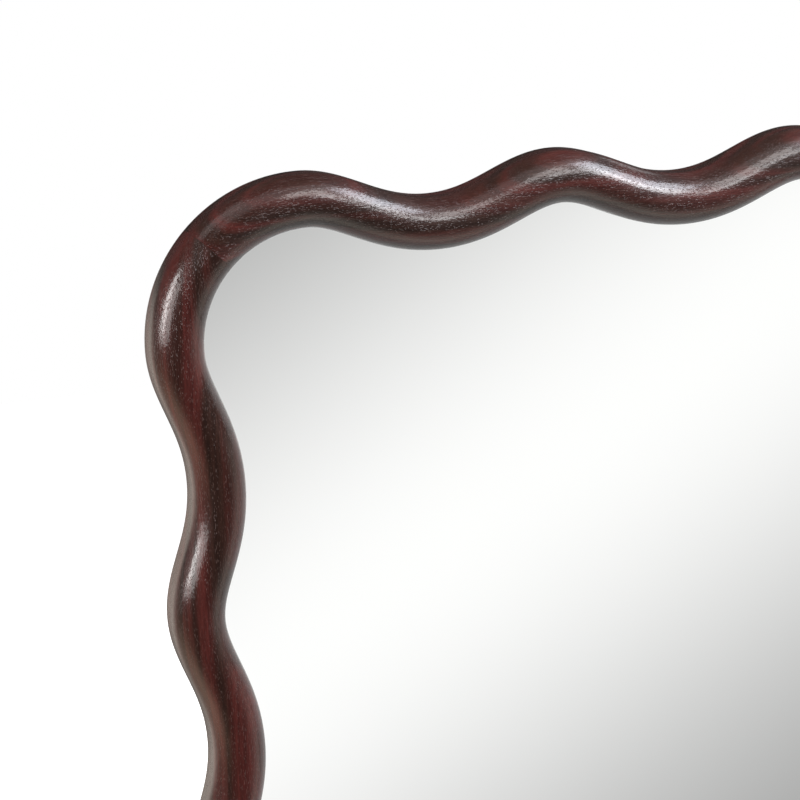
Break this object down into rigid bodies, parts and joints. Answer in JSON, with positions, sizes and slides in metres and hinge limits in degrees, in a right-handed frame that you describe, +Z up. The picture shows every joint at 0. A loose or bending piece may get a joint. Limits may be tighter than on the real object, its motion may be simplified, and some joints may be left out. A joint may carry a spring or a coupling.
{
  "type": "wavy framed wall mirror",
  "caption": "Tall wall mirror in a scalloped dark wood frame with a rounded section, mitred corners, glass and board held from behind, and two hanging rings.",
  "frame": {"origin": "on the wall plane, midway between the pivots of the two hanging rings", "axes": "+Z up, +Y into the wall (the mirror faces -Y), +X to the right for someone who looks into the mirror"},
  "size_m": [0.61, 0.0389, 0.9138],
  "materials": {
    "espresso_wood": "dark red-brown stain under semi-gloss lacquer, open pores",
    "silvered_glass": "polished silvered float glass",
    "hardboard": "bare hardboard",
    "beech": "fluted hardwood dowel, unfinished",
    "zinc_steel": "bright zinc-plated steel",
    "rubber": "matt black rubber"
  },
  "bodies": {
    "frame": {"rail_top": "espresso_wood", "rail_right": "espresso_wood", "rail_bottom": "espresso_wood", "rail_left": "espresso_wood", "board_screw_top_1": "zinc_steel", "board_screw_top_2": "zinc_steel", "board_screw_top_3": "zinc_steel", "board_screw_right_1": "zinc_steel", "board_screw_right_2": "zinc_steel", "board_screw_right_3": "zinc_steel", "board_screw_right_4": "zinc_steel", "board_screw_right_5": "zinc_steel", "board_screw_bottom_1": "zinc_steel", "board_screw_bottom_2": "zinc_steel", "board_screw_bottom_3": "zinc_steel", "board_screw_left_1": "zinc_steel", "board_screw_left_2": "zinc_steel", "board_screw_left_3": "zinc_steel", "board_screw_left_4": "zinc_steel", "board_screw_left_5": "zinc_steel", "dowel_top_right_rear": "beech", "dowel_top_right_front": "beech", "dowel_bottom_right_rear": "beech", "dowel_bottom_right_front": "beech", "dowel_bottom_left_rear": "beech", "dowel_bottom_left_front": "beech", "dowel_top_left_rear": "beech", "dowel_top_left_front": "beech", "bumper_top_right": "rubber", "bumper_bottom_right": "rubber", "bumper_bottom_left": "rubber", "bumper_top_left": "rubber", "mirror_plate": "silvered_glass", "backing_board": "hardboard", "hanger_strap_left": "zinc_steel", "strap_screw_left_1": "zinc_steel", "strap_screw_left_2": "zinc_steel", "hanger_strap_right": "zinc_steel", "strap_screw_right_1": "zinc_steel", "strap_screw_right_2": "zinc_steel"},
    "ring_left": {"hanger_ring_left": "zinc_steel"},
    "ring_right": {"hanger_ring_right": "zinc_steel"}
  },
  "joints": [
    {"name": "ring_left_swing", "type": "hinge", "parent": "frame", "child": "ring_left", "pos_m": [-0.2796, -0.00305, 0], "axis": [1, 0, 0], "range_deg": [0, 186]},
    {"name": "ring_right_swing", "type": "hinge", "parent": "frame", "child": "ring_right", "pos_m": [0.2796, -0.00305, 0], "axis": [1, 0, 0], "range_deg": [0, 186]}
  ]
}
